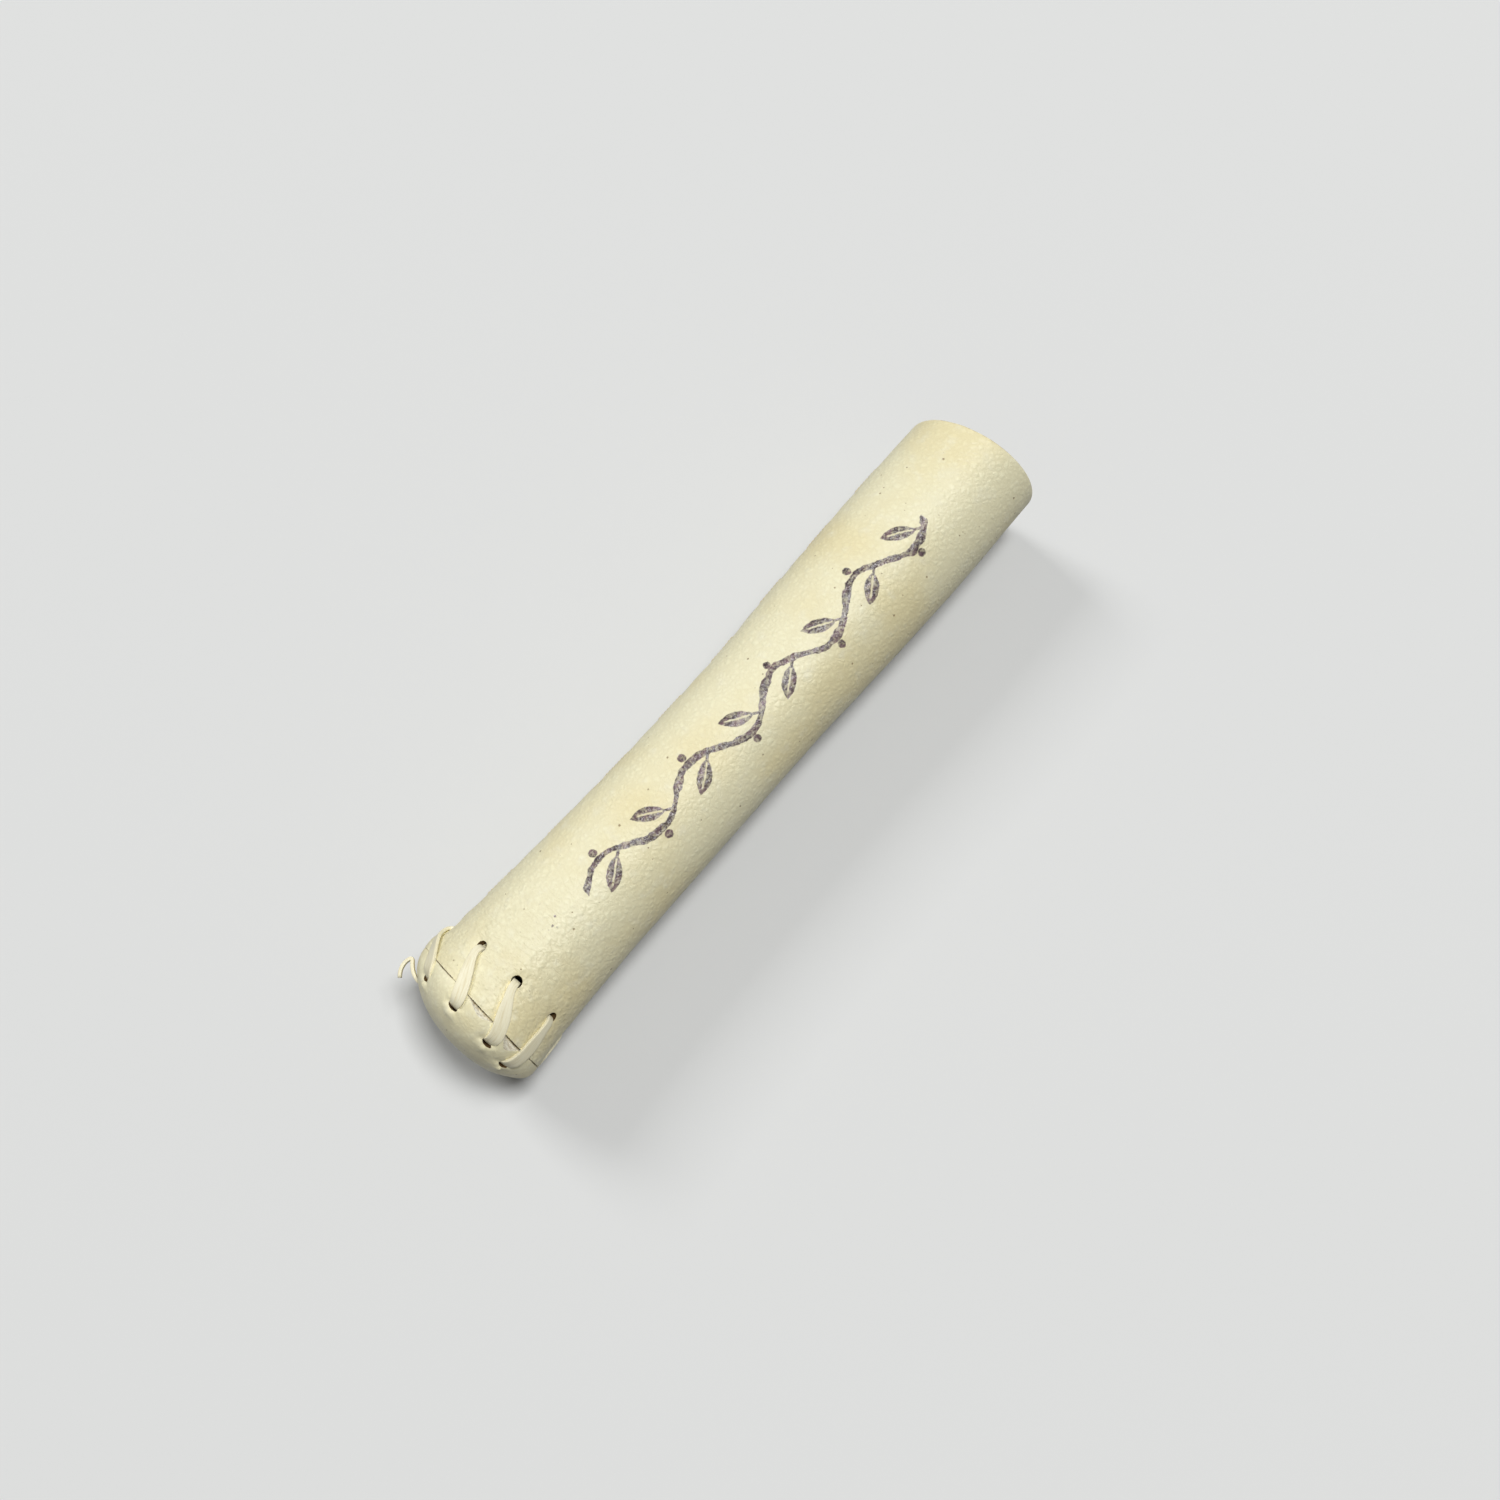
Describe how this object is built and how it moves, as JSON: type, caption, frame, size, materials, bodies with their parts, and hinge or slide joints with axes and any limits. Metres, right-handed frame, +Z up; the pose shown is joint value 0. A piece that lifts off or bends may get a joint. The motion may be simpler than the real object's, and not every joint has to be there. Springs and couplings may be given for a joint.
{
  "type": "cue tip cover",
  "caption": "Waisted leather sleeve with a domed cap laced over one end, slipped over the tip of a cue to protect it.",
  "frame": {"origin": "centre of the narrow stretch of the bore, on its axis", "axes": "+X along the bore and out of the mouth, +Z up as the cover lies on a table, +Y to the side of the overlap"},
  "size_m": [0.0805, 0.017, 0.0154],
  "materials": {
    "leather": "pale cream hide with a fine pebbled grain and a soft sheen",
    "cap_leather": "the same pale hide, moulded into a dome",
    "lace": "thin pale thong, matt at its cut edges",
    "thread": "waxed twisted thread"
  },
  "bodies": {
    "root": {"sleeve": "leather", "end_cap": "cap_leather", "end_lace": "lace", "seam_thread": "thread"}
  },
  "joints": []
}
